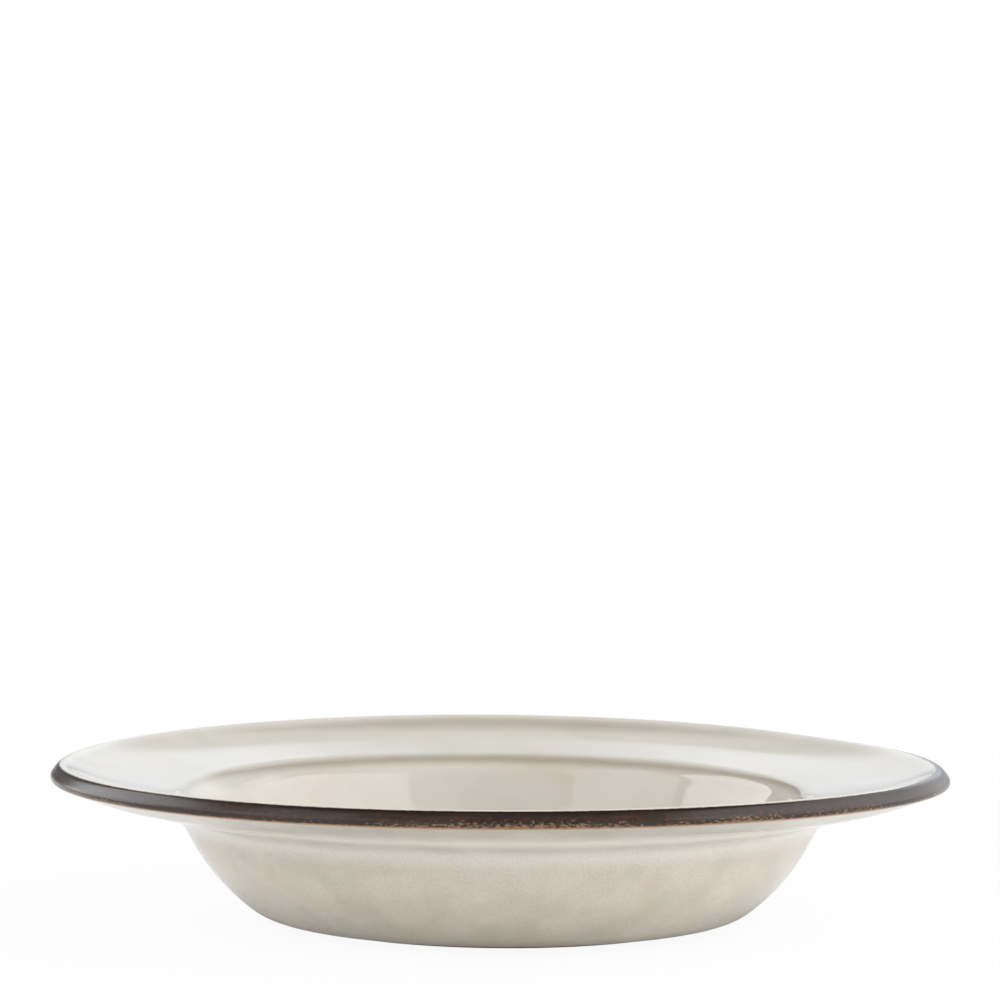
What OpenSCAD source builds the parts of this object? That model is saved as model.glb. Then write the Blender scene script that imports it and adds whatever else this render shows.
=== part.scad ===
// Rimmed soup plate in stoneware: a wide rim with a rolled lip, a deep round well and a low foot ring.
// The fired clay carries four coats that meet edge to edge: cream glaze over the inside, the outside and
// the foot recess, and a dark iron band brushed along the outer half of the lip.
// Lengths are millimetres. Z is the axis of the plate and the foot stands on Z = 0.

/* [Plate] */
// Diameter over the lip
plate_d = 240; // [190:1:300]
// Height from the foot to the top of the lip
plate_h = 44; // [38:0.5:60]

/* [Lip] */
// Radius over the top of the lip
crown_round = 2.4; // [1.9:0.1:3]
// How far the middle of the top rounding lies inside the edge of the plate
crown_inset = 3.4; // [2.9:0.1:4.4]
// Radius of the outermost edge of the lip
nose_round = 1.4; // [1:0.1:1.8]
// How far the middle of the edge rounding lies below the middle of the top rounding
nose_drop = 0.5; // [0.2:0.1:1.4]

/* [Rim] */
// Width of the rim, from its edge to the verge, where it turns down into the well
rim_w = 37.5; // [28:0.5:46]
// How far the verge lies below the top of the lip
verge_drop = 8.5; // [6:0.1:9]
// Radius that rounds the verge
verge_round = 6; // [2:0.5:10]
// How far the underside of the lip reaches in from the edge of the plate
neck_inset = 10.4; // [8:0.1:16]
// How far that inner end of the lip's underside lies below the top of the lip
neck_drop = 8.1; // [7:0.1:9]
// Radius that blends the lip's underside into the underside of the rim
neck_round = 30; // [10:1:50]

/* [Outside wall] */
// How far outside the verge the underside of the rim would meet the wall
shoulder_out = 4; // [3:0.1:8]
// How far that meeting lies below the top of the lip
shoulder_drop = 14.2; // [13:0.1:17]
// Radius of the hollow under the rim
shoulder_round = 11; // [4:0.5:14]
// How far inside the verge the wall changes its slope at the belly
belly_in = 5.9; // [5:0.1:7]
// Height of that change of slope
belly_h = 11.1; // [10:0.1:12]
// Radius that rounds the belly
belly_round = 53; // [35:1:56]
// How far inside the verge the wall turns under to the foot
turn_in = 18.6; // [17:0.1:21]
// Height of that turn
turn_h = 2.1; // [1.6:0.1:2.6]
// Radius that rounds the turn
turn_round = 15; // [6:1:20]

/* [Well] */
// Height of the well's floor above the foot
floor_h = 6.8; // [5.6:0.1:8.6]
// Lean of the well's wall away from upright, in degrees
well_lean = 25; // [20:1:28]
// Radius between the floor and the wall of the well
well_round = 28; // [22:1:32]

/* [Foot] */
// How far the outer side of the foot ring lies inside the verge
foot_in = 29.5; // [26:0.5:38]
// Width of the foot ring where it stands
foot_w = 4; // [2.5:0.1:7]
// Radius that breaks both edges of the foot ring
foot_round = 0.3; // [0.1:0.05:0.34]
// Height at which the glaze outside stops at the foot ring
foot_stop = 0.35; // [0.35:0.05:0.8]
// Height of the recess inside the foot ring
recess_h = 2.4; // [1.6:0.1:3]
// Lean of the foot ring's inner side away from upright, in degrees
recess_lean = 25; // [10:1:45]
// Height at which the glaze in the recess stops
recess_stop = 0.8; // [0.4:0.1:1]
// Radius of the hollow between the foot ring and the roof of the recess
recess_round = 1.2; // [0.5:0.1:1.5]

/* [Glaze] */
// Thickness of every coat
glaze_t = 0.4; // [0.2:0.05:0.6]
// Where the iron band starts over the top of the lip, in degrees above the horizontal
band_top = 64; // [50:1:80]
// Where the iron band stops under the edge of the lip, in degrees below the horizontal
band_low = 44; // [10:1:60]

/* [Hidden] */
// Largest turn of one step along a rounding, in degrees
round_step = 4;
// Sides of the preview of each revolved piece
turned_sides = 180;

// The section runs clockwise, from the middle of the well's floor over the rim and the lip and back
// under the plate. A face is known by the angle at which its outward normal points.
function normal_at(angle) = [cos(angle), sin(angle)];
function face_angle(from, to) = atan2(to[1] - from[1], to[0] - from[0]) + 90;

// A rounding is [middle, radius, first normal, last normal]. A hollow one has a radius below zero.
function rounding(corner, radius, first, last) =
    [corner - radius * (normal_at(first) + normal_at(last)) / (1 + cos(last - first)), radius, first, last];
function part_of(round, first, last) = [round[0], round[1], first, last];
function sharp(point, angle) = [point, 0, angle, angle];
function steps_of(round) = max(1, ceil(abs(round[3] - round[2]) / round_step));

// Points of a chain of roundings, each point a given depth under the surface
function chain_points(chain, depth) = [
    for (round = chain, i = [0 : steps_of(round)])
        if (i == 0 || round[2] != round[3])
            let (angle = round[2] + (round[3] - round[2]) * i / steps_of(round))
            round[0] + (round[1] - depth) * normal_at(angle)
];
function backwards(points) = [for (i = [len(points) - 1 : -1 : 0]) points[i]];

// Corners that the named sizes fix
verge = [plate_d / 2 - rim_w, plate_h - verge_drop];
neck = [plate_d / 2 - neck_inset, plate_h - neck_drop];
shoulder = [verge[0] + shoulder_out, plate_h - shoulder_drop];
belly = [verge[0] - belly_in, belly_h];
turn = [verge[0] - turn_in, turn_h];
foot_r = verge[0] - foot_in;
foot_side = [foot_r, foot_stop];
well_corner = [verge[0] - (verge[1] - floor_h) * tan(well_lean), floor_h];
recess_r = foot_r - foot_w;
recess_corner = [recess_r - recess_h * tan(recess_lean), recess_h];
recess_start = [recess_r - recess_stop * tan(recess_lean), recess_stop];

// The lip is two circles and the straight lines that touch them
crown_mid = [plate_d / 2 - crown_inset, plate_h - crown_round];
nose_mid = [plate_d / 2 - nose_round, crown_mid[1] - nose_drop];
lip_face = face_angle(crown_mid, nose_mid) - asin((crown_round - nose_round) / norm(nose_mid - crown_mid));
rim_face = face_angle(verge, crown_mid) + asin(crown_round / norm(crown_mid - verge));
lip_under = face_angle(nose_mid, neck) - asin(nose_round / norm(neck - nose_mid));

// The angles of the other faces
well_face = 180 - well_lean;
rim_under = face_angle(neck, shoulder);
wall_face = face_angle(shoulder, belly);
belly_face = face_angle(belly, turn);
base_face = face_angle(turn, foot_side);
recess_face = recess_lean - 180;

crown = [crown_mid, crown_round, rim_face, lip_face];
nose = [nose_mid, nose_round, lip_face, lip_under];

// One chain for each coat, and the coats share their end points
inner_chain = [
    sharp([0, floor_h], 90),
    rounding(well_corner, -well_round, 90, well_face),
    rounding(verge, verge_round, well_face, rim_face),
    part_of(crown, rim_face, band_top)
];
band_chain = [
    part_of(crown, band_top, lip_face),
    part_of(nose, lip_face, -band_low)
];
outer_chain = [
    part_of(nose, -band_low, lip_under),
    rounding(neck, neck_round, lip_under, rim_under),
    rounding(shoulder, -shoulder_round, rim_under, wall_face),
    rounding(belly, belly_round, wall_face, belly_face),
    rounding(turn, turn_round, belly_face, base_face),
    sharp(foot_side, base_face)
];
base_chain = [
    sharp(recess_start, recess_face),
    rounding(recess_corner, -recess_round, recess_face, -90),
    sharp([0, recess_h], -90)
];
// The foot ring stands bare, so its section is the clay's own
foot_chain = [
    rounding([foot_r, 0], foot_round, 0, -90),
    rounding([recess_r, 0], foot_round, -90, recess_face)
];

module turned(points) {
    rotate_extrude($fn = turned_sides) polygon(points);
}

module coat(chain) {
    turned(concat(chain_points(chain, 0), backwards(chain_points(chain, glaze_t))));
}

module stoneware_body() {
    color("#b59673") turned(concat(
        chain_points(concat(inner_chain, band_chain, outer_chain), glaze_t),
        chain_points([sharp(foot_side, base_face)], 0),
        chain_points(foot_chain, 0),
        chain_points([sharp(recess_start, recess_face)], 0),
        chain_points(base_chain, glaze_t)
    ));
}

module inner_glaze() {
    color("#dcd6c8") coat(inner_chain);
}

module outer_glaze() {
    color("#cdc4b3") coat(outer_chain);
}

module rim_band() {
    color("#3b312b") coat(band_chain);
}

module base_glaze() {
    color("#c9c0ae") coat(base_chain);
}

stoneware_body();
inner_glaze();
outer_glaze();
rim_band();
base_glaze();
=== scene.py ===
"""Rimmed soup plate in stoneware, dressed over its CAD frame.

The plate is fired clay under four coats: cream glaze inside, outside and in the foot recess, and a dark
iron band brushed along the lip. Every coat is turned on the plate's axis from one shared section, and
the whole plate then gets the slight unevenness of a rim that was shaped by hand.
Sizes are millimetres until they reach Blender, which works in metres.
"""
import logging
import math
from dataclasses import dataclass, field
from enum import Enum

import bpy
import numpy as np
from mathutils import Matrix


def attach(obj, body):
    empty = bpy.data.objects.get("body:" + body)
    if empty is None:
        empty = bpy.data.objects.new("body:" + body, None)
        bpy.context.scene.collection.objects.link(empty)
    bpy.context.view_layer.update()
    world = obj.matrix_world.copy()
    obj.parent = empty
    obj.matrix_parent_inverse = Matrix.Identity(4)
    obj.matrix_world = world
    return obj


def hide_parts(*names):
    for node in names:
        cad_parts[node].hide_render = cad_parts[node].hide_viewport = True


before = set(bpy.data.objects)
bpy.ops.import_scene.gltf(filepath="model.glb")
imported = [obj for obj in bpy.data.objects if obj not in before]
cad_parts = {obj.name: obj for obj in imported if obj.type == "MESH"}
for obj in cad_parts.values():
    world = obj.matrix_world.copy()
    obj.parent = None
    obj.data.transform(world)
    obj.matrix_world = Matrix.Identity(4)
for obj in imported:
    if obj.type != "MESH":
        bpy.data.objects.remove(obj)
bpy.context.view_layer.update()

log = logging.getLogger("soup_plate")

MM = 0.001
FULL_TURN = 2 * math.pi
# Millimetres within which two points of the section are one
SAME_PLACE = 1e-6
Point = tuple[float, float]
Tree = bpy.types.NodeTree
Node = bpy.types.Node
Socket = bpy.types.NodeSocket
Value = Socket | float | tuple[float, ...]
Material = bpy.types.Material
Piece = bpy.types.Object


def normal_at(angle: float) -> Point:
    """Unit vector in the section plane that points at an angle in degrees."""
    return math.cos(math.radians(angle)), math.sin(math.radians(angle))


def face_angle(start: Point, end: Point) -> float:
    """Angle in degrees of the outward normal of a straight face, with the section run clockwise."""
    return math.degrees(math.atan2(end[1] - start[1], end[0] - start[0])) + 90


@dataclass(frozen=True)
class Rounding:
    """An arc of the section, known by the angles of its first and last normals.

    A hollow arc has a radius below zero, and a sharp corner has a radius of zero.
    """

    middle: Point
    radius: float
    first: float
    last: float

    @classmethod
    def in_corner(cls, corner: Point, radius: float, first: float, last: float) -> "Rounding":
        """Rounds the corner between two straight faces.

        Args:
            corner: Where the two faces would meet.
            radius: Radius of the rounding, below zero where the corner is hollow.
            first: Normal angle of the face before the corner.
            last: Normal angle of the face after it.

        Returns:
            The arc that touches both faces.
        """
        before, after = normal_at(first), normal_at(last)
        reach = radius / (1 + math.cos(math.radians(last - first)))
        middle = tuple(c - reach * (b + a) for c, b, a in zip(corner, before, after))
        return cls(middle, radius, first, last)

    def samples(self, fineness: "Fineness") -> list[tuple[Point, Point]]:
        """Surface points along the arc, each with its outward normal.

        Args:
            fineness: How finely to cut the arc.

        Returns:
            A list of (point, normal) pairs.
        """
        turn = abs(self.last - self.first)
        length = abs(self.radius) * math.radians(turn)
        steps = max(1, math.ceil(turn / fineness.turn), math.ceil(length / fineness.length)) if turn else 0
        found = []
        for i in range(steps + 1):
            share = i / steps if steps else 0
            normal = normal_at(self.first + (self.last - self.first) * share)
            found.append((tuple(m + self.radius * n for m, n in zip(self.middle, normal)), normal))
        return found


@dataclass(frozen=True)
class Fineness:
    """How finely the section is cut: largest turn in degrees and largest length between two points."""

    turn: float
    length: float


@dataclass(frozen=True)
class Crease:
    """A soft ring-shaped groove that the turning tool left in the surface."""

    radius: float = 91.5
    half_width: float = 0.32
    depth: float = 0.16
    # How far to each side the section is cut finer, and into how many parts
    reach: float = 3
    cuts: int = 7

    def depth_at(self, r: float) -> float:
        """How far the surface lies back at a distance from the plate's axis."""
        return self.depth * math.exp(-(((r - self.radius) / self.half_width) ** 2))


@dataclass(frozen=True)
class PlateSection:
    """The plate's section, in pairs of radius from the axis and height above the table.

    Verge, hollow, neck, shoulder, belly, turn and foot are where straight faces would meet. Crown and nose
    are the middles of the two circles that make the lip. Glaze is the thickness of every coat.
    """

    glaze: float = 0.4
    floor: float = 6.8
    well_lean: float = 25
    well_round: float = 28
    verge: Point = (81.6, 34.9)
    verge_round: float = 10
    hollow: Point = (106.5, 38.9)
    hollow_round: float = 46
    crown: Point = (116.56, 40.54)
    crown_round: float = 2.56
    nose: Point = (118.5, 39.92)
    nose_round: float = 1.44
    neck: Point = (109.6, 35.0)
    neck_round: float = 30
    shoulder: Point = (86.55, 29.33)
    shoulder_round: float = 11
    belly: Point = (76.86, 11.14)
    belly_round: float = 53
    turn: Point = (64.3, 2.06)
    turn_round: float = 15
    foot: Point = (53.0, 0.35)
    foot_width: float = 4
    foot_round: float = 0.3
    # Height of the recess in the foot, lean of its side and where its glaze stops
    recess: float = 2.4
    recess_lean: float = 25
    recess_stop: float = 0.8
    recess_round: float = 1.2
    # Degrees above and below the level at which the iron band starts and stops
    band_top: float = 60
    band_low: float = 53
    crease: Crease = Crease()
    # What shows is cut finely, and the faces between coat and clay coarsely
    fine: Fineness = Fineness(4, 1.8)
    hidden: Fineness = Fineness(9, 6)

    def corner_angles(self) -> dict[str, float]:
        """Normal angles of the straight faces, in degrees."""
        rise = math.degrees(math.asin(self.crown_round / math.dist(self.crown, self.hollow)))
        narrowing = self.crown_round - self.nose_round
        pull = math.degrees(math.asin(narrowing / math.dist(self.nose, self.crown)))
        drop = math.degrees(math.asin(self.nose_round / math.dist(self.neck, self.nose)))
        return {
            "well": 180 - self.well_lean,
            "rim": face_angle(self.verge, self.hollow),
            "lip_inside": face_angle(self.hollow, self.crown) + rise,
            "lip": face_angle(self.crown, self.nose) - pull,
            "lip_under": face_angle(self.nose, self.neck) - drop,
            "rim_under": face_angle(self.neck, self.shoulder),
            "wall": face_angle(self.shoulder, self.belly),
            "belly": face_angle(self.belly, self.turn),
            "base": face_angle(self.turn, self.foot),
            "recess": self.recess_lean - 180,
        }

    def chains(self) -> dict[str, list[Rounding]]:
        """The roundings of each coat and of the bare foot, in clockwise order."""
        at = self.corner_angles()
        corner = Rounding.in_corner
        well_r = self.verge[0] - (self.verge[1] - self.floor) * math.tan(math.radians(self.well_lean))
        recess_r = self.foot[0] - self.foot_width
        lean = math.tan(math.radians(self.recess_lean))
        recess_corner = (recess_r - self.recess * lean, self.recess)
        recess_start = (recess_r - self.recess_stop * lean, self.recess_stop)
        return {
            "inner": [
                Rounding((0, self.floor), 0, 90, 90),
                corner((well_r, self.floor), -self.well_round, 90, at["well"]),
                corner(self.verge, self.verge_round, at["well"], at["rim"]),
                corner(self.hollow, -self.hollow_round, at["rim"], at["lip_inside"]),
                Rounding(self.crown, self.crown_round, at["lip_inside"], self.band_top),
            ],
            "band": [
                Rounding(self.crown, self.crown_round, self.band_top, at["lip"]),
                Rounding(self.nose, self.nose_round, at["lip"], -self.band_low),
            ],
            "outer": [
                Rounding(self.nose, self.nose_round, -self.band_low, at["lip_under"]),
                corner(self.neck, self.neck_round, at["lip_under"], at["rim_under"]),
                corner(self.shoulder, -self.shoulder_round, at["rim_under"], at["wall"]),
                corner(self.belly, self.belly_round, at["wall"], at["belly"]),
                corner(self.turn, self.turn_round, at["belly"], at["base"]),
                Rounding(self.foot, 0, at["base"], at["base"]),
            ],
            "foot": [
                corner((self.foot[0], 0), self.foot_round, 0, -90),
                corner((recess_r, 0), self.foot_round, -90, at["recess"]),
            ],
            "base": [
                Rounding(recess_start, 0, at["recess"], at["recess"]),
                corner(recess_corner, -self.recess_round, at["recess"], -90),
                Rounding((0, self.recess), 0, -90, -90),
            ],
        }

    def samples(self, chain: list[Rounding], fineness: Fineness) -> list[tuple[Point, Point]]:
        """Points and normals along a chain, with the straight faces between its arcs cut up too.

        Args:
            chain: Roundings in order.
            fineness: How finely to cut it.

        Returns:
            A list of (point, normal) pairs at the surface.
        """
        found: list[tuple[Point, Point]] = []
        for arc in chain:
            part = arc.samples(fineness)
            if found:
                (start, _), (end, normal) = found[-1], part[0]
                gap = math.dist(start, end)
                if gap < SAME_PLACE:
                    part = part[1:]
                else:
                    steps = math.ceil(gap / fineness.length)
                    for i in range(1, steps):
                        found.append((tuple(s + (e - s) * i / steps for s, e in zip(start, end)), normal))
            found.extend(part)
        return found

    def refined(self, chain: list[Rounding]) -> list[tuple[Point, Point]]:
        """The samples of a chain with more points at the crease, which is then pressed in.

        Args:
            chain: Roundings in order.

        Returns:
            A list of (point, normal) pairs at the finished surface.
        """
        crease = self.crease
        dense: list[tuple[Point, Point]] = []
        for point, normal in self.samples(chain, self.fine):
            under_rim = normal[1] < 0 and point[1] > self.floor
            if dense and under_rim and abs(point[0] - crease.radius) < crease.reach:
                start = dense[-1][0]
                for i in range(1, crease.cuts):
                    share = i / crease.cuts
                    dense.append((tuple(a + (b - a) * share for a, b in zip(start, point)), normal))
            dense.append((point, normal))
        found = []
        for point, normal in dense:
            if normal[1] < 0:
                point = sunk([(point, normal)], crease.depth_at(point[0]))[0]
            found.append((point, normal))
        return found


def sunk(samples: list[tuple[Point, Point]], depth: float) -> list[Point]:
    """The points of surface samples, moved under the surface by a depth in millimetres."""
    return [tuple(c - depth * v for c, v in zip(point, normal)) for point, normal in samples]


def linear(code: str) -> tuple[float, float, float, float]:
    """Linear red, green, blue and full alpha of an sRGB colour, given as hex digits after a hash sign."""
    parts = [int(code[i : i + 2], 16) / 255 for i in (1, 3, 5)]
    return (*(c / 12.92 if c <= 0.04045 else ((c + 0.055) / 1.055) ** 2.4 for c in parts), 1.0)


def add_node(tree: Tree, kind: str, inputs: dict[str | int, Value], **settings: str | bool) -> Node:
    """Adds one node, sets it and joins it to the nodes before it.

    Args:
        tree: Node tree that gets the node.
        kind: Blender's type name of the node.
        inputs: Value or source socket of each input, by name or number.
        settings: Properties of the node.

    Returns:
        The new node.
    """
    node = tree.nodes.new(kind)
    for name, value in settings.items():
        setattr(node, name, value)
    for name, value in inputs.items():
        if isinstance(value, Socket):
            tree.links.new(value, node.inputs[name])
        else:
            node.inputs[name].default_value = value
    return node


@dataclass(frozen=True)
class Zone:
    """A ring of the glaze in which it looks different, placed by its way along the section.

    Fading is how much of the half width gets lost, in millimetres: at the plate's front and back where it
    is above zero, and at its left and right where it is below zero.
    """

    middle: float
    half_width: float
    colour: str
    strength: float
    ragged: float = 0.8
    fading: float = 0


class GlazeFace(Enum):
    """Which side of the plate a cream coat lies on, and so how the iron band runs into it."""

    INSIDE = "inside"
    OUTSIDE = "outside"
    RECESS = "recess"


def new_material(name: str) -> tuple[Material, Tree, Node]:
    """An empty node material, its node tree and its Principled shader."""
    material = bpy.data.materials.new(name)
    material.use_nodes = True
    tree = material.node_tree
    tree.nodes.clear()
    shader = add_node(tree, "ShaderNodeBsdfPrincipled", {})
    add_node(tree, "ShaderNodeOutputMaterial", {"Surface": shader.outputs["BSDF"]})
    return material, tree, shader


@dataclass(frozen=True)
class Tint:
    """A colour that shows more and more while a value goes from one level to another."""

    value: Socket
    start: float
    full: float
    strength: float
    colour: str


def painted(tree: Tree, ground: str, tints: list[Tint]) -> Socket:
    """Lays tints over a ground colour, one after another.

    Args:
        tree: Node tree that gets the nodes.
        ground: Colour under the tints.
        tints: What is laid over it, in order.

    Returns:
        The finished colour.
    """
    colour: Value = linear(ground)
    for tint in tints:
        limits = {"From Min": tint.start, "From Max": tint.full, "To Max": tint.strength}
        limits["Value"] = tint.value
        share = add_node(tree, "ShaderNodeMapRange", limits, interpolation_type="SMOOTHSTEP")
        both = {0: share.outputs["Result"], 6: colour, 7: linear(tint.colour)}
        colour = add_node(tree, "ShaderNodeMix", both, data_type="RGBA").outputs[2]
    return colour


def pattern(tree: Tree, size: float, detail: float = 2, stretch: float = 1) -> Socket:
    """Soft noise of a real size, from the object's own coordinates.

    Args:
        tree: Node tree that gets the pattern.
        size: Size of one patch in millimetres.
        detail: Octaves of finer noise in it.
        stretch: How much longer a patch is along the plate's axis.

    Returns:
        The noise value, about 0.5 on average.
    """
    place = add_node(tree, "ShaderNodeTexCoord", {})
    scale = 1 / (size * MM)
    spot = {
        "Vector": place.outputs["Object"],
        "Scale": (scale, scale, scale / stretch),
        "Location": (size, -size, 2 * size),
    }
    moved = add_node(tree, "ShaderNodeMapping", spot)
    look = {"Vector": moved.outputs["Vector"], "Scale": 1.0, "Detail": detail}
    return add_node(tree, "ShaderNodeTexNoise", look).outputs["Fac"]


def along_section(tree: Tree, ragged: float, size: float) -> Socket:
    """Way along the section from the band's lower edge, shaken by noise.

    Args:
        tree: Node tree that gets the value.
        ragged: How far the noise shifts an edge, in millimetres.
        size: Size of the noise in millimetres.

    Returns:
        The way in millimetres, positive over the lip and into the well.
    """
    way = add_node(tree, "ShaderNodeAttribute", {}, attribute_name="section_mm")
    centred = add_node(tree, "ShaderNodeMath", {0: pattern(tree, size, 3), 1: 0.5}, operation="SUBTRACT")
    # The noise strays about a quarter from its middle
    swing = {0: centred.outputs[0], 1: 4 * ragged, 2: way.outputs["Fac"]}
    return add_node(tree, "ShaderNodeMath", swing, operation="MULTIPLY_ADD").outputs[0]


@dataclass(frozen=True)
class Finish:
    """What the plate's materials share: a ground colour under tints, a fine relief and a gloss.

    The relief has a size, a depth, a strength with which it bends the light, and a detail.
    """

    name: str
    colour: str
    roughness: float
    relief_mm: float
    relief_depth_mm: float
    relief_strength: float
    relief_detail: float = 3
    ior: float = 1.5

    def make(self, band: float) -> Material:
        """Builds the material.

        Args:
            band: Width of the iron band along the section, in millimetres.

        Returns:
            The finished material.
        """
        material, tree, shader = new_material(self.name)
        tree.links.new(painted(tree, self.colour, self.tints(tree, band)), shader.inputs["Base Color"])
        relief = {"Strength": self.relief_strength, "Distance": self.relief_depth_mm * MM}
        relief["Height"] = pattern(tree, self.relief_mm, self.relief_detail)
        bump = add_node(tree, "ShaderNodeBump", relief)
        tree.links.new(bump.outputs["Normal"], shader.inputs["Normal"])
        shader.inputs["Roughness"].default_value = self.roughness
        shader.inputs["IOR"].default_value = self.ior
        return material

    def tints(self, tree: Tree, band: float) -> list[Tint]:
        """The tints over the ground colour, in order, for an iron band of this width."""
        return []


@dataclass(frozen=True)
class CreamGlaze(Finish):
    """Cream reactive stoneware glaze, dipped and fired glossy.

    The melt runs and reacts with the clay: it clouds in soft greenish and pinkish patches and goes
    olive-brown where it thins over an edge. Its pale zones are painted highlights and painted light.
    """

    face: GlazeFace = GlazeFace.RECESS
    colour: str = "#d2cdc3"
    # Greenish and pinkish patches and small clouds keep the cream from looking like paint
    green: str = "#c4c3b2"
    pink: str = "#d2c5b8"
    patch_mm: float = 20
    cloud: str = "#c2b59f"
    cloudiness: float = 0.05
    cloud_mm: float = 5
    # The clay's grain shows through. It is under 0.2 mm, too fine to show, so it is drawn at 0.45 mm
    grain: str = "#8f7d64"
    graininess: float = 0.06
    grain_mm: float = 0.45
    zones: tuple[Zone, ...] = ()
    zone_mm: float = 9
    # A gloss glaze is a skin of glass, so it mirrors the room sharply
    roughness: float = 0.05
    ior: float = 1.6
    # The melt settles in long shallow waves, which bend what it mirrors a little
    relief_mm: float = 14
    relief_depth_mm: float = 0.1
    relief_strength: float = 0.1
    relief_detail: float = 0
    iron: str = "#1d1510"
    fringe: str = "#a97a50"
    # How far noise frays the edge of the iron, and the size of that noise
    edge_fray: Point = (0.1, 1.6)
    # Ways past that edge between which the iron ends, and how far its stain reaches
    iron_ends_mm: Point = (0.15, -0.1)
    stain_mm: float = 0.4
    bleed_mm: float = 1.25
    # Half the width over which a zone changes between the plate's sides and its front and back
    side_mm: float = 78
    # How far the iron creeps over the lip, how much more at the right, and where that grows
    creep_mm: float = 0.2
    creep_more_mm: float = 1.6
    creep_reach: Point = (98, 117)

    def tints(self, tree: Tree, band: float) -> list[Tint]:
        """Patches, clouds, zones and grain of the cream, and the iron that runs into it."""
        tints = [
            Tint(pattern(tree, self.patch_mm), 0.42, 0.7, 0.5, self.green),
            Tint(pattern(tree, self.patch_mm * 0.7), 0.48, 0.72, 0.4, self.pink),
            Tint(pattern(tree, self.cloud_mm, 3), 0.35, 0.75, self.cloudiness, self.cloud),
        ]
        for zone in self.zones:
            way = along_section(tree, zone.ragged, self.zone_mm)
            off = add_node(tree, "ShaderNodeMath", {0: way, 1: zone.middle}, operation="SUBTRACT")
            away = add_node(tree, "ShaderNodeMath", {0: off.outputs[0]}, operation="ABSOLUTE").outputs[0]
            if zone.fading:
                away = self.fading_inwards(tree, away, zone.fading)
            low = min(0, zone.fading)
            tints.append(Tint(away, zone.half_width + low, low, zone.strength, zone.colour))
        tints.append(Tint(pattern(tree, self.grain_mm, 3, 1.6), 0.4, 0.7, self.graininess, self.grain))
        if self.face is GlazeFace.INSIDE:
            edge = self.crept(tree, along_section(tree, *self.edge_fray))
            tints.append(Tint(edge, band + self.stain_mm, band, 0.6, self.fringe))
            start, full = (band + way for way in self.iron_ends_mm)
            tints.append(Tint(edge, start, full, 1, self.iron))
        elif self.face is GlazeFace.OUTSIDE:
            edge = along_section(tree, *self.edge_fray)
            tints.append(Tint(edge, -self.bleed_mm, -0.05, 0.85, self.fringe))
        return tints

    def fading_inwards(self, tree: Tree, away: Socket, fading: float) -> Socket:
        """Distance from a zone's middle that grows where the plate's side turns to its front or back.

        Args:
            tree: Node tree that gets the nodes.
            away: Distance from the middle of the zone, in millimetres.
            fading: How much it grows at the very front and back, in millimetres.

        Returns:
            The grown distance.
        """
        across = {0: self.side_to_side(tree), 1: 1 / (self.side_mm * MM)}
        share = add_node(tree, "ShaderNodeMath", across, operation="MULTIPLY").outputs[0]
        square = add_node(tree, "ShaderNodeMath", {0: share, 1: share}, operation="MULTIPLY").outputs[0]
        rest = {0: 1.0, 1: square}
        middle = add_node(tree, "ShaderNodeMath", rest, operation="SUBTRACT", use_clamp=True).outputs[0]
        grown = {0: middle, 1: fading, 2: away}
        return add_node(tree, "ShaderNodeMath", grown, operation="MULTIPLY_ADD").outputs[0]

    def crept(self, tree: Tree, way: Socket) -> Socket:
        """Way along the section, less what the iron glaze has crept over the lip, most at the right."""
        limits = {
            "Value": self.side_to_side(tree),
            "From Min": self.creep_reach[0] * MM,
            "From Max": self.creep_reach[1] * MM,
            "To Min": self.creep_mm,
            "To Max": self.creep_mm + self.creep_more_mm,
        }
        creep = add_node(tree, "ShaderNodeMapRange", limits, interpolation_type="SMOOTHSTEP")
        left_over = {0: way, 1: creep.outputs[0]}
        return add_node(tree, "ShaderNodeMath", left_over, operation="SUBTRACT").outputs[0]

    @staticmethod
    def side_to_side(tree: Tree) -> Socket:
        """Place from the plate's left to its right, in metres."""
        place = add_node(tree, "ShaderNodeTexCoord", {})
        return add_node(tree, "ShaderNodeSeparateXYZ", {"Vector": place.outputs["Object"]}).outputs["X"]


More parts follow.
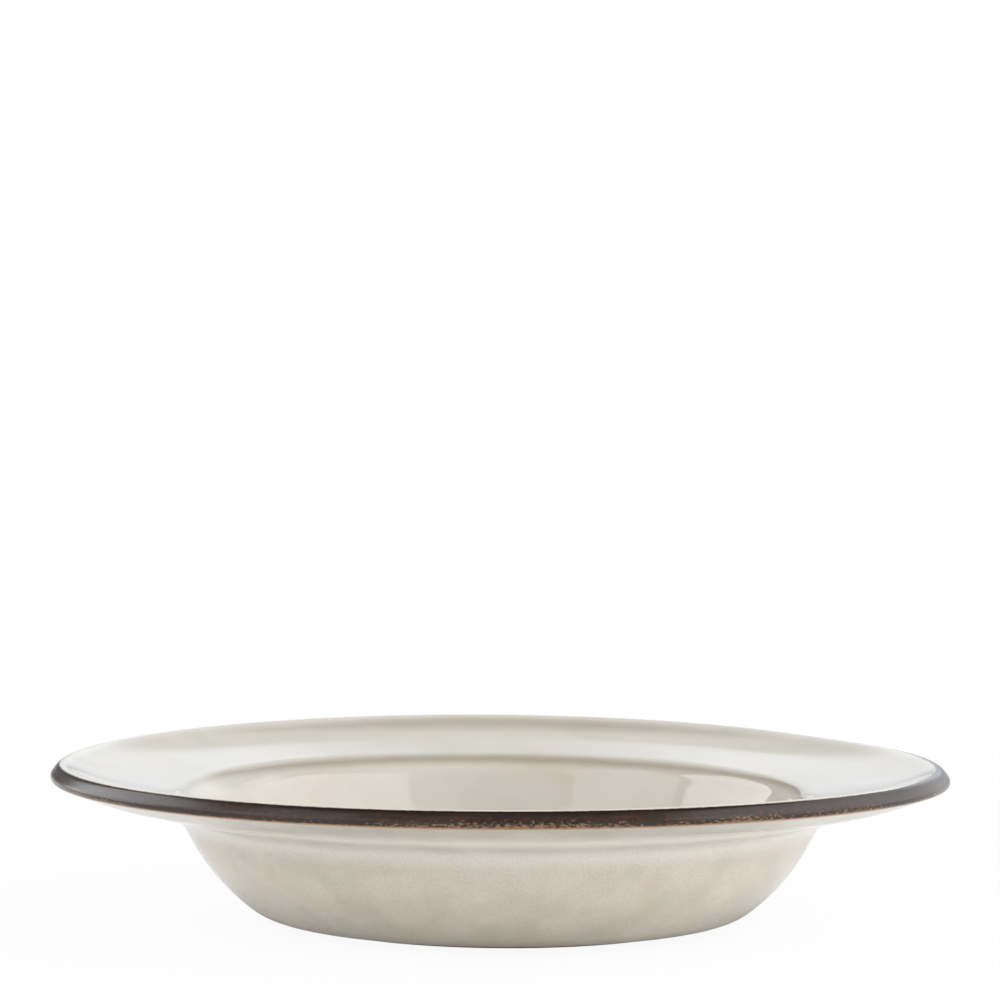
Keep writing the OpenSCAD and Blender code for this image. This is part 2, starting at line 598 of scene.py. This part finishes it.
@dataclass(frozen=True)
class IronGlaze(Finish):
    """Iron oxide glaze brushed over the lip, fired to a satin brown-black.

    It is near black along its top edge, thick iron with a painted dark reflection, grey-brown in streaks that
    follow the brush with a painted sheen, darker above its lower edge with painted shade, specked with ochre
    crystals towards its lower edge, and burns orange-brown where it bleeds into the cream.
    """

    name: str = "iron_glaze_satin"
    colour: str = "#32271f"
    # Near black of the top edge: thick iron with a painted dark reflection
    top_iron_and_shade: str = "#241a14"
    # Grey-brown of the brush streaks, which carry a painted sheen, and of the grit
    sheen_and_grit: str = "#4a3e35"
    speck: str = "#947554"
    # Dark brown above the lower edge: iron with painted shade
    lower_iron_and_shade: str = "#23140c"
    fringe: str = "#a97a50"
    # Iron crystals break up the gloss, so the band mirrors softly
    roughness: float = 0.2
    ior: float = 1.5
    rust: str = "#56301b"
    rust_mm: float = 1.8
    # Grit and pits are about 0.1 mm, too fine to show, so they are drawn at 0.3 mm
    grit_mm: float = 0.3
    relief_mm: float = 0.3
    relief_depth_mm: float = 0.05
    relief_strength: float = 0.5
    # How far noise frays the band's edge and its darker lower part, iron with painted shade, and the size of
    # that noise
    edge_fray: Point = (0.12, 1.6)
    lower_shade_fray: Point = (0.25, 2.4)
    # Shares of the band's width between which its near black top comes up, thick iron with a painted dark
    # reflection
    top_shade_reach: Point = (0.62, 0.84)
    # Ways up from the lower edge between which it darkens, dark iron with painted shade, and the width of its
    # fringe
    lower_shade_reach: Point = (1.7, 1.1)
    fringe_mm: float = 0.6
    # Length along the lip and height across it of a brush streak and of a speck
    streak: Point = (14, 1.1)
    speck_size: Point = (1.1, 0.45)
    # Specks get fewer by this much for each millimetre up the band, and come and go along the lip
    speck_loss: float = 0.1
    speckled_mm: float = 26
    speckled_share: float = 0.6

    def tints(self, tree: Tree, band: float) -> list[Tint]:
        """Streaks with painted sheen, rust, grit, specks and edges of the band, with painted shade at its top
        and low down.
        """
        way = along_section(tree, *self.edge_fray)
        lower = {0: way, 1: -self.speck_loss, 2: self.brushed(tree, self.speck_size)}
        sprinkled = add_node(tree, "ShaderNodeMath", lower, operation="MULTIPLY_ADD").outputs[0]
        here_more = {0: pattern(tree, self.speckled_mm), 1: self.speckled_share, 2: sprinkled}
        speck = add_node(tree, "ShaderNodeMath", here_more, operation="MULTIPLY_ADD").outputs[0]
        start, full = (band * share for share in self.top_shade_reach)
        return [
            # Brush streaks in grey-brown: brush marks with a painted sheen
            Tint(self.brushed(tree, self.streak), 0.42, 0.7, 0.5, self.sheen_and_grit),
            Tint(pattern(tree, self.rust_mm, 3), 0.5, 0.66, 0.55, self.rust),
            Tint(pattern(tree, self.grit_mm, 2), 0.5, 0.7, 0.35, self.sheen_and_grit),
            # Near black top edge: thick iron with a painted dark reflection
            Tint(way, start, full, 0.7, self.top_iron_and_shade),
            # Darker above the lower edge: iron with painted shade
            Tint(along_section(tree, *self.lower_shade_fray), *self.lower_shade_reach, 0.6, self.lower_iron_and_shade),
            Tint(speck, 0.72, 0.92, 0.75, self.speck),
            Tint(way, self.fringe_mm, 0, 1, self.fringe),
        ]

    @staticmethod
    def brushed(tree: Tree, size: Point) -> Socket:
        """Noise drawn out along the lip, as the brush left it.

        Args:
            tree: Node tree that gets the pattern.
            size: Length of a patch along the lip and its height across it, in millimetres.

        Returns:
            The noise value, about 0.5 on average.
        """
        place = add_node(tree, "ShaderNodeTexCoord", {})
        split = add_node(tree, "ShaderNodeSeparateXYZ", {"Vector": place.outputs["Object"]})
        way = add_node(tree, "ShaderNodeAttribute", {}, attribute_name="section_mm")
        parts = {}
        for axis, source, length in (
            ("X", split.outputs["X"], size[0] * MM),
            ("Y", split.outputs["Y"], size[0] * MM),
            ("Z", way.outputs["Fac"], size[1]),
        ):
            share = add_node(tree, "ShaderNodeMath", {0: source, 1: length}, operation="DIVIDE")
            parts[axis] = share.outputs[0]
        spot = add_node(tree, "ShaderNodeCombineXYZ", parts)
        look = {"Vector": spot.outputs[0], "Scale": 1.0, "Detail": 4.0}
        return add_node(tree, "ShaderNodeTexNoise", look).outputs["Fac"]


@dataclass(frozen=True)
class BuffStoneware(Finish):
    """Bare stoneware clay, fired and wiped clean at the foot: matte, sandy and faintly speckled."""

    name: str = "buff_stoneware_bare"
    colour: str = "#b59673"
    pale: str = "#c4a985"
    speck: str = "#6f543c"
    patch_mm: float = 6
    # The sand in the clay is 0.1 to 0.3 mm, too fine to show, so it is drawn at 0.5 mm
    grain_mm: float = 0.5
    relief_mm: float = 0.5
    relief_depth_mm: float = 0.1
    relief_strength: float = 0.5
    # Bare clay scatters the light and hardly mirrors
    roughness: float = 0.85

    def tints(self, tree: Tree, band: float) -> list[Tint]:
        """Pale patches and dark specks of the clay."""
        return [
            Tint(pattern(tree, self.patch_mm, 3), 0.4, 0.7, 0.5, self.pale),
            Tint(pattern(tree, self.grain_mm, 2), 0.64, 0.7, 0.7, self.speck),
        ]


@dataclass(frozen=True)
class Swell:
    """A soft rise or dent of the rim at one side, in degrees round the plate and millimetres."""

    angle: float
    half_width: float
    height: float


@dataclass(frozen=True)
class HandUnevenness:
    """How a rim shaped by hand stands a little higher and lower around the plate.

    The rise grows from the well outwards and is a sum of waves around the plate: the rim leans to the far
    side, sags at two sides and has one soft third wave. A wave is given by its height along X and along Y.
    """

    # Radii between which the rise grows, and how late it does
    starts_at: float = 53.5
    full_at: float = 120
    growth: float = 1.34
    lean: Point = (-0.096, 0.408)
    sag: Point = (-0.628, -0.268)
    third: Point = (0.0, -0.220)
    settling: float = -0.13
    swells: tuple[Swell, ...] = (Swell(-85, 40, 0.15), Swell(38, 12, -0.42), Swell(100, 40, -0.24))
    # The verge has waves of its own
    verge_at: float = 82
    verge_half: float = 14
    verge_lean: Point = (-0.05, 0.33)
    verge_sag: Point = (0.37, -0.06)
    verge_rise: float = -0.05
    # How far the foot stands to the right, and up to which height
    sway: float = 0.5
    sway_until: float = 33
    # How far the well's mouth stands to the left, the heights over which that grows and the radii over
    # which it ends
    off_middle: float = -1.6
    off_above: float = 30
    off_whole: float = 35
    off_inside: float = 88
    off_until: float = 104

    def shape(self, places: np.ndarray) -> np.ndarray:
        """Places after the rise of the rim, the sway of the foot and the shift of the verge to one side."""
        x, y, z = places.T
        high = np.clip((z - self.off_above) / (self.off_whole - self.off_above), 0, 1)
        inner = np.clip((self.off_until - np.hypot(x, y)) / (self.off_until - self.off_inside), 0, 1)
        above, within = (share * share * (3 - 2 * share) for share in (high, inner))
        swayed = self.sway * np.clip(1 - z / self.sway_until, 0, 1)
        aside = swayed + self.off_middle * above * within
        return np.stack([x + aside, y, z + self.rise(x, y)], axis=1)

    def rise(self, x: np.ndarray, y: np.ndarray) -> np.ndarray:
        """Height that each place of the plate gains.

        Args:
            x: Places along X in millimetres.
            y: Places along Y in millimetres.

        Returns:
            The gain in millimetres.
        """
        out = np.hypot(x, y)
        angle = np.arctan2(y, x)
        outer = np.clip((out - self.starts_at) / (self.full_at - self.starts_at), 0, 1) ** self.growth
        verge = np.exp(-(((out - self.verge_at) / self.verge_half) ** 2))
        rim = self.settling + self.around(angle, (self.lean, self.sag, self.third))
        for swell in self.swells:
            rim += swell.height * np.exp(-(((np.degrees(angle) - swell.angle) / swell.half_width) ** 2))
        return outer * rim + verge * (self.verge_rise + self.around(angle, (self.verge_lean, self.verge_sag)))

    @staticmethod
    def around(angle: np.ndarray, waves: tuple[Point, ...]) -> np.ndarray:
        """Sum of waves round the plate, the first with one crest, the next with two and so on."""
        total = np.zeros_like(angle)
        for count, (across, along) in enumerate(waves, start=1):
            total += across * np.cos(count * angle) + along * np.sin(count * angle)
        return total


@dataclass
class GlazedLine:
    """The glazed surface of the section as one line, measured from the band's lower edge."""

    points: np.ndarray
    ways: np.ndarray
    batch: int = 4000

    @classmethod
    def over(cls, coats: list[list[tuple[Point, Point]]]) -> "GlazedLine":
        """Joins the surfaces of the coats above the band, the band and the coats below it.

        Args:
            coats: Samples of the inner coat, the band and the outer coat, in that order.

        Returns:
            The measured line, with ways above zero on the band and the inner coat.
        """
        points = np.array([point for coat in coats for point, _ in coat])
        ways = np.concatenate([[0], np.cumsum(np.hypot(*np.diff(points, axis=0).T))])
        lower_edge = len(coats[0]) + len(coats[1]) - 1
        return cls(points, ways[lower_edge] - ways)

    def nearest(self, places: np.ndarray) -> np.ndarray:
        """Ways of the line's points that lie nearest to places of the section.

        Args:
            places: Rows of radius and height.

        Returns:
            One way for each place, in millimetres.
        """
        found = []
        for part in np.array_split(places, max(1, len(places) // self.batch)):
            gap = ((part[:, None, :] - self.points[None, :, :]) ** 2).sum(axis=2)
            found.append(self.ways[gap.argmin(axis=1)])
        return np.concatenate(found)

    def way_at(self, place: Point) -> float:
        """Way of the line's point that lies nearest to one place of the section."""
        return float(self.nearest(np.array([place]))[0])


@dataclass
class Wheel:
    """Turns a closed section into a piece, as on a potter's wheel."""

    unevenness: HandUnevenness = field(default_factory=HandUnevenness)
    quarter_steps: int = 140
    # Distance in metres within which two vertices become one
    merge_gap: float = 0.002 * MM
    # Degrees from which an edge stays sharp
    sharp_from: float = 50

    def turn(self, name: str, outline: list[Point], line: GlazedLine) -> Piece:
        """Draws the outline by extruding one point along it and spins it round the axis.

        A spin gets slow with many steps, so it makes a quarter, which is then mirrored twice.

        Args:
            name: Name of the piece.
            outline: Closed section in order, in millimetres.
            line: The glazed surface, for the way that each vertex is marked with.

        Returns:
            The finished mesh object.
        """
        bpy.ops.object.select_all(action="DESELECT")
        first = outline[0]
        bpy.ops.mesh.primitive_plane_add(size=MM, location=(first[0] * MM, 0, first[1] * MM))
        piece = bpy.context.object
        piece.name = name
        piece.data.name = name
        bpy.ops.object.transform_apply(location=True, rotation=True, scale=True)
        bpy.ops.object.mode_set(mode="EDIT")
        bpy.ops.mesh.select_mode(type="VERT")
        bpy.ops.mesh.select_all(action="SELECT")
        bpy.ops.mesh.merge(type="CENTER")
        last = first
        for point in outline[1:]:
            step = ((point[0] - last[0]) * MM, 0, (point[1] - last[1]) * MM)
            bpy.ops.mesh.extrude_vertices_move(TRANSFORM_OT_translate={"value": step})
            last = point
        if max(first[0], last[0]) > 0:
            self.join_ends(piece)
        bpy.ops.mesh.select_all(action="SELECT")
        bpy.ops.mesh.spin(steps=self.quarter_steps, angle=FULL_TURN / 4, center=(0, 0, 0), axis=(0, 0, 1))
        bpy.ops.object.mode_set(mode="OBJECT")
        mirror = piece.modifiers.new("other_quarters", "MIRROR")
        mirror.use_axis = (True, True, False)
        mirror.use_mirror_merge = True
        mirror.merge_threshold = self.merge_gap
        bpy.ops.object.modifier_apply(modifier=mirror.name)
        bpy.ops.object.mode_set(mode="EDIT")
        bpy.ops.mesh.select_all(action="SELECT")
        bpy.ops.mesh.remove_doubles(threshold=self.merge_gap)
        bpy.ops.mesh.delete_loose(use_verts=True, use_edges=True, use_faces=False)
        bpy.ops.mesh.select_all(action="SELECT")
        bpy.ops.mesh.normals_make_consistent(inside=False)
        bpy.ops.object.mode_set(mode="OBJECT")
        bpy.ops.object.shade_smooth_by_angle(angle=math.radians(self.sharp_from))
        places = self.read_places(piece)
        flat = np.stack([np.hypot(places[:, 0], places[:, 1]), places[:, 2]], axis=1)
        mark = piece.data.attributes.new("section_mm", "FLOAT", "POINT")
        mark.data.foreach_set("value", line.nearest(flat))
        piece.data.vertices.foreach_set("co", (self.unevenness.shape(places) * MM).ravel())
        piece.data.update()
        return piece

    @staticmethod
    def join_ends(piece: Piece) -> None:
        """Joins the two ends of the drawn outline with an edge."""
        bpy.ops.mesh.select_all(action="DESELECT")
        bpy.ops.object.mode_set(mode="OBJECT")
        piece.data.vertices[0].select = True
        piece.data.vertices[-1].select = True
        bpy.ops.object.mode_set(mode="EDIT")
        bpy.ops.mesh.edge_face_add()

    @staticmethod
    def read_places(piece: Piece) -> np.ndarray:
        """Places of a piece's vertices in millimetres, one row each."""
        places = np.zeros(len(piece.data.vertices) * 3)
        piece.data.vertices.foreach_get("co", places)
        return places.reshape(-1, 3) / MM


@dataclass
class Plate:
    """The whole plate: clay body and four coats."""

    section: PlateSection = field(default_factory=PlateSection)
    wheel: Wheel = field(default_factory=Wheel)

    def build(self) -> None:
        """Turns each piece, dresses it and hands it to the frame."""
        chains = self.section.chains()
        coats = {name: self.section.refined(chain) for name, chain in chains.items()}
        backs = {name: self.section.samples(chain, self.section.hidden) for name, chain in chains.items()}
        line = GlazedLine.over([coats["inner"], coats["band"], coats["outer"]])
        band = line.way_at(coats["band"][0][0])
        log.info("the band is %.2f mm wide along the section", band)
        finishes = self.finishes(line, band)
        named = {
            "inner": ("well_and_rim_glaze", "inner_glaze", "cream_glaze"),
            "outer": ("outside_glaze", "outer_glaze", "wall_glaze"),
            "band": ("lip_band", "rim_band", "iron_glaze"),
            "base": ("recess_glaze", "base_glaze", "base_glaze"),
        }
        for coat, (name, node, slot) in named.items():
            outline = sunk(coats[coat], 0) + sunk(backs[coat], self.section.glaze)[::-1]
            piece = self.wheel.turn(name, outline, line)
            self.hand_over(piece, node, slot, finishes[coat])
        body = (
            sunk(backs["inner"] + backs["band"][1:] + backs["outer"][1:], self.section.glaze)
            + sunk(coats["outer"][-1:], 0)
            + sunk(coats["foot"], 0)
            + sunk(coats["base"][:1], 0)
            + sunk(backs["base"], self.section.glaze)
        )
        piece = self.wheel.turn("clay_body", body, line)
        self.hand_over(piece, "stoneware_body", "stoneware", BuffStoneware().make(band))

    def finishes(self, line: GlazedLine, band: float) -> dict[str, Material]:
        """Makes the glazes with their zones: darker rings, and pale rings that are painted highlights and
        painted light.

        Args:
            line: The glazed surface.
            band: Width of the iron band along it, in millimetres.

        Returns:
            The material of each coat.
        """
        inside = CreamGlaze(
            "cream_reactive_glaze_inside",
            face=GlazeFace.INSIDE,
            # Thin and olive-brown over the verge, darker olive-grey on the slope behind the lip, and a pale
            # line along the lip's top that is a painted highlight
            zones=(
                Zone(line.way_at((82.9, 34.8)), 3.4, "#736240", 0.46, 0.2, -0.8),
                Zone(line.way_at((112.4, 41.3)), 6.3, "#8f856f", 0.4, 0.4, -5),
                # Painted highlight along the lip's top
                Zone(line.way_at((116.0, 43.0)), 3, "#f2efe9", 0.35, 0.1),
            ),
        )
        outside = CreamGlaze(
            "cream_reactive_glaze_outside",
            face=GlazeFace.OUTSIDE,
            # Paler than the cream inside: painted light that lifts the outer wall
            colour="#dcd6c9",
            cloud="#c6b9a2",
            cloudiness=0.27,
            cloud_mm=9,
            graininess=0.18,
            patch_mm=14,
            # Pale under the crease, a painted highlight; the rim's underside painted paler against the shade
            # under the lip; darker and browner towards the foot
            zones=(
                # Painted highlight below the crease
                Zone(line.way_at((87.5, 27.5)), 6, "#efebe3", 0.9, 0.5),
                # Painted light that lifts the shade under the rim
                Zone(line.way_at((101.0, 33.2)), 9, "#f6f3ec", 0.95, 0.5),
                Zone(line.way_at(self.section.foot), 24, "#b3a58e", 0.25, 1.2),
            ),
        )
        recess = CreamGlaze("cream_glaze_recess", colour="#c3bba9")
        return {
            "inner": inside.make(band),
            "outer": outside.make(band),
            "band": IronGlaze().make(band),
            "base": recess.make(band),
        }

    @staticmethod
    def hand_over(piece: Piece, node: str, slot: str, finish: Material) -> None:
        """Dresses a piece and lets it stand for its CAD node.

        Args:
            piece: Finished piece.
            node: CAD node that it replaces.
            slot: The record's material slot; not used.
            finish: Its material.
        """
        piece.data.materials.clear()
        piece.data.materials.append(finish)
        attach(piece, "root")
        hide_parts(node)
        log.info("%s: %d faces, for %s", piece.name, len(piece.data.polygons), node)


@dataclass(frozen=True)
class Softbox:
    """An upright studio softbox, placed by the directions in which the plate sees its two sides.

    Angles are degrees, from the camera's side round to the right, and lengths are metres. A lamp gives the
    light that falls on the plate, held at a plain level, and a cloth with rounded corners is what the glaze
    mirrors.
    """

    name: str
    from_angle: float
    to_angle: float
    distance: float
    low: float
    high: float
    lighting: float
    mirrored: float
    corner: float = 0.12
    corner_cuts: int = 8
    colour: str = "#f8fbff"

    def hang(self) -> None:
        """Adds the lamp and the cloth, upright and turned to face the plate."""
        middle = math.radians((self.from_angle + self.to_angle) / 2)
        half = math.radians(abs(self.to_angle - self.from_angle) / 2)
        width, height = 2 * self.distance * math.tan(half), self.high - self.low
        place = (
            self.distance * math.sin(middle),
            -self.distance * math.cos(middle),
            (self.low + self.high) / 2,
        )
        turned = (math.radians(90), 0, middle)
        bpy.ops.object.light_add(type="AREA", location=place, rotation=turned)
        lamp = bpy.context.object
        lamp.name = self.name
        lamp.data.shape = "RECTANGLE"
        lamp.data.size, lamp.data.size_y = width, height
        # A lamp is as bright as its power over four times its area
        lamp.data.energy = 4 * width * height * self.lighting
        lamp.visible_glossy = False
        bpy.ops.mesh.primitive_plane_add(size=1, location=place, rotation=turned)
        cloth = bpy.context.object
        cloth.name = f"{self.name}_cloth"
        cloth.scale = (width, height, 1)
        bpy.ops.object.transform_apply(location=True, rotation=True, scale=True)
        bpy.ops.object.mode_set(mode="EDIT")
        bpy.ops.mesh.select_all(action="SELECT")
        bpy.ops.mesh.bevel(offset=self.corner, segments=self.corner_cuts, affect="VERTICES")
        bpy.ops.object.mode_set(mode="OBJECT")
        material, tree, shader = new_material(f"{self.name}_cloth")
        tree.nodes.remove(shader)
        light = {"Color": linear(self.colour), "Strength": self.mirrored}
        glow = add_node(tree, "ShaderNodeEmission", light)
        tree.links.new(glow.outputs[0], tree.nodes["Material Output"].inputs["Surface"])
        cloth.data.materials.append(material)
        for ray in ("camera", "diffuse", "transmission", "volume_scatter", "shadow"):
            setattr(cloth, f"visible_{ray}", False)


@dataclass(frozen=True)
class Flag:
    """A dark studio flag, of which the glaze mirrors a round patch that hides the white surround."""

    angle: float
    elevation: float
    half_angle: float
    softness: float = 1.5

    def direction(self) -> tuple[float, float, float]:
        """Where the flag's middle stands, seen from the plate."""
        round_it, up = math.radians(self.angle), math.radians(self.elevation)
        return math.sin(round_it) * math.cos(up), -math.cos(round_it) * math.cos(up), math.sin(up)

    def inner(self, margin: float) -> float:
        """Cosine of the angle from its middle to its edge, less a margin in degrees."""
        return math.cos(math.radians(self.half_angle - margin))


@dataclass(frozen=True)
class PhotoCamera:
    """The camera of the photograph, as fitted to the plate's outline."""

    place_mm: tuple[float, float, float] = (-0.6, -1248.0, 175.56)
    # Degrees that it looks down and leans to one side
    pitch: float = 2.885
    roll: float = 0.387
    focal_px: float = 4680.07
    frame_px: float = 1000
    sensor: float = 36
    sight_m: float = 200

    def add(self) -> None:
        """Adds the camera and makes it the scene's own."""
        data = bpy.data.cameras.new("photo_camera")
        data.sensor_width = self.sensor
        data.lens = self.focal_px / self.frame_px * self.sensor
        data.clip_end = self.sight_m
        camera = bpy.data.objects.new("photo_camera", data)
        bpy.context.scene.collection.objects.link(camera)
        camera.location = [c * MM for c in self.place_mm]
        tilted = Matrix.Rotation(math.radians(90 - self.pitch), 4, "X")
        rolled = Matrix.Rotation(math.radians(self.roll), 4, "Z")
        camera.rotation_euler = (tilted @ rolled).to_euler("XYZ")
        bpy.context.scene.camera = camera


@dataclass(frozen=True)
class Studio:
    """Pale table, softboxes at both sides, a white surround and the camera of the photograph."""

    camera: PhotoCamera = PhotoCamera()
    boxes: tuple[Softbox, ...] = (
        Softbox("softbox_right", 46, 128, 0.8, 0.04, 1.3, 1.35, 1.5),
        Softbox("softbox_right_back", 129, 150, 0.9, 0.03, 0.9, 0.3, 1.1),
        Softbox("softbox_left_front", -86, -36, 0.9, 0.15, 1.5, 0.35, 1.3),
        Softbox("softbox_left_back", -139, -91, 0.9, 0.05, 0.88, 1.35, 2.3),
    )
    flags: tuple[Flag, ...] = (Flag(-110, 0, 60), Flag(-146, 46, 16), Flag(152, 47, 11))
    flag_level: float = 0.2
    # Levels of the surround by degrees above the table, for what lights the plate and what it mirrors
    lighting_front: tuple[Point, ...] = ((28, 1.12), (38, 0.72))
    lighting_back: tuple[Point, ...] = ((28, 0.6), (38, 0.42))
    mirrored_front: tuple[Point, ...] = ((5, 0.6), (20, 0.25), (40, 0.17))
    mirrored_back: tuple[Point, ...] = ((1, 0.6), (8, 1.05), (20, 1.25), (29, 0.66), (37, 0.56), (46, 0))
    mirrored_tint: str = "#f4f9ff"
    # Parts along Y of a direction between which the front goes over into the back
    halves_meet: Point = (-0.2, 0.2)
    table_size: float = 30
    table_cuts: int = 8
    paper: str = "#f4f4f4"
    # The mirrored table is dark by the foot. Metres from the axis, and the levels there
    shadow_reach: Point = (0.055, 0.092)
    shadow_levels: Point = (0.25, 0.89)
    # The camera sees the paper with its shadow near the plate, and white further off
    white_reach: Point = (0.12, 0.5)
    white_levels: Point = (0.93, 1)

    def build(self) -> None:
        """Sets up the table, the light and the camera."""
        self.camera.add()
        self.add_table()
        self.add_surround()
        for box in self.boxes:
            box.hang()
            log.info("lamp %s", box.name)

    def add_table(self) -> None:
        """Adds the pale table top, which keeps the plate's shadow near it and fades to white further off."""
        bpy.ops.object.select_all(action="DESELECT")
        cuts = self.table_cuts
        bpy.ops.mesh.primitive_grid_add(x_subdivisions=cuts, y_subdivisions=cuts, size=self.table_size)
        table = bpy.context.object
        table.name = "table_top"
        material, tree, shader = new_material("table_white_paper")
        tree.nodes.remove(shader)
        paper = add_node(tree, "ShaderNodeBsdfDiffuse", {"Color": linear(self.paper)})
        glow = add_node(tree, "ShaderNodeEmission", {"Color": (1, 1, 1, 1), "Strength": 1.0})
        place = add_node(tree, "ShaderNodeTexCoord", {})
        out = add_node(tree, "ShaderNodeVectorMath", {0: place.outputs["Object"]}, operation="LENGTH")
        levels = []
        for reach, ends in (
            (self.shadow_reach, self.shadow_levels),
            (self.white_reach, self.white_levels),
        ):
            limits = dict(zip(("From Min", "From Max", "To Min", "To Max"), reach + ends))
            limits["Value"] = out.outputs["Value"]
            step = add_node(tree, "ShaderNodeMapRange", limits, interpolation_type="SMOOTHSTEP")
            levels.append(step.outputs["Result"])
        shadow, white = levels
        path = add_node(tree, "ShaderNodeLightPath", {})
        glossy = {0: path.outputs["Is Glossy Ray"], 1: path.outputs["Is Transmission Ray"]}
        mirrored = add_node(tree, "ShaderNodeMath", glossy, operation="ADD", use_clamp=True)
        level = {0: mirrored.outputs[0], 2: 1.0, 3: shadow}
        tree.links.new(add_node(tree, "ShaderNodeMix", level).outputs[0], glow.inputs["Strength"])
        camera = {0: path.outputs["Is Camera Ray"], 1: white, 2: mirrored.outputs[0]}
        share = add_node(tree, "ShaderNodeMath", camera, operation="MULTIPLY_ADD", use_clamp=True)
        layers = {0: share.outputs[0], 1: paper.outputs[0], 2: glow.outputs[0]}
        both = add_node(tree, "ShaderNodeMixShader", layers)
        tree.links.new(both.outputs[0], tree.nodes["Material Output"].inputs["Surface"])
        table.data.materials.append(material)

    def add_surround(self) -> None:
        """Lights the room: white walls up to a height, a dim ceiling and the dark flags in the corners."""
        world = bpy.data.worlds.new("white_surround")
        bpy.context.scene.world = world
        world.use_nodes = True
        tree = world.node_tree
        tree.nodes.clear()
        place = add_node(tree, "ShaderNodeTexCoord", {})
        split = add_node(tree, "ShaderNodeSeparateXYZ", {"Vector": place.outputs["Generated"]})
        meet = dict(zip(("From Min", "From Max"), self.halves_meet), Value=split.outputs["Y"])
        turn = add_node(tree, "ShaderNodeMapRange", meet, interpolation_type="SMOOTHSTEP")
        levels = []
        for steps in (self.lighting_front, self.lighting_back, self.mirrored_front, self.mirrored_back):
            level: Value = steps[0][1]
            for (start, _), (end, after) in zip(steps, steps[1:]):
                low, high = (math.sin(math.radians(angle)) for angle in (start, end))
                reach = {"Value": split.outputs["Z"], "From Min": low, "From Max": high}
                share = add_node(tree, "ShaderNodeMapRange", reach, interpolation_type="SMOOTHSTEP")
                mix = {0: share.outputs["Result"], 2: level, 3: after}
                level = add_node(tree, "ShaderNodeMix", mix).outputs[0]
            levels.append(level)
        lighting, mirrored = (
            add_node(tree, "ShaderNodeMix", {0: turn.outputs[0], 2: front, 3: back}).outputs[0]
            for front, back in (levels[:2], levels[2:])
        )
        for flag in self.flags:
            towards = {0: place.outputs["Generated"], 1: flag.direction()}
            close = add_node(tree, "ShaderNodeVectorMath", towards, operation="DOT_PRODUCT")
            edge = {
                "Value": close.outputs["Value"],
                "From Min": flag.inner(-flag.softness),
                "From Max": flag.inner(flag.softness),
            }
            covered = add_node(tree, "ShaderNodeMapRange", edge, interpolation_type="SMOOTHSTEP")
            mix = {0: covered.outputs["Result"], 2: mirrored, 3: self.flag_level}
            mirrored = add_node(tree, "ShaderNodeMix", mix).outputs[0]
        path = add_node(tree, "ShaderNodeLightPath", {})
        glossy = path.outputs["Is Glossy Ray"]
        lit = add_node(tree, "ShaderNodeMix", {0: glossy, 2: lighting, 3: mirrored})
        either = {0: path.outputs["Is Camera Ray"], 1: path.outputs["Is Transmission Ray"]}
        direct = add_node(tree, "ShaderNodeMath", either, operation="ADD", use_clamp=True)
        seen = add_node(tree, "ShaderNodeMix", {0: direct.outputs[0], 2: lit.outputs[0], 3: 1.0})
        colours = {0: glossy, 6: (1, 1, 1, 1), 7: linear(self.mirrored_tint)}
        tint = add_node(tree, "ShaderNodeMix", colours, data_type="RGBA")
        light = {"Color": tint.outputs[2], "Strength": seen.outputs[0]}
        room = add_node(tree, "ShaderNodeBackground", light)
        add_node(tree, "ShaderNodeOutputWorld", {"Surface": room.outputs[0]})


def main() -> None:
    """Builds the plate and the studio and notes the sizes."""
    logging.basicConfig(level=logging.INFO, format="%(name)s: %(message)s")
    Plate().build()
    Studio().build()
    scene = bpy.context.scene
    scene.view_settings.view_transform = "Standard"


if __name__ == "__main__":
    main()
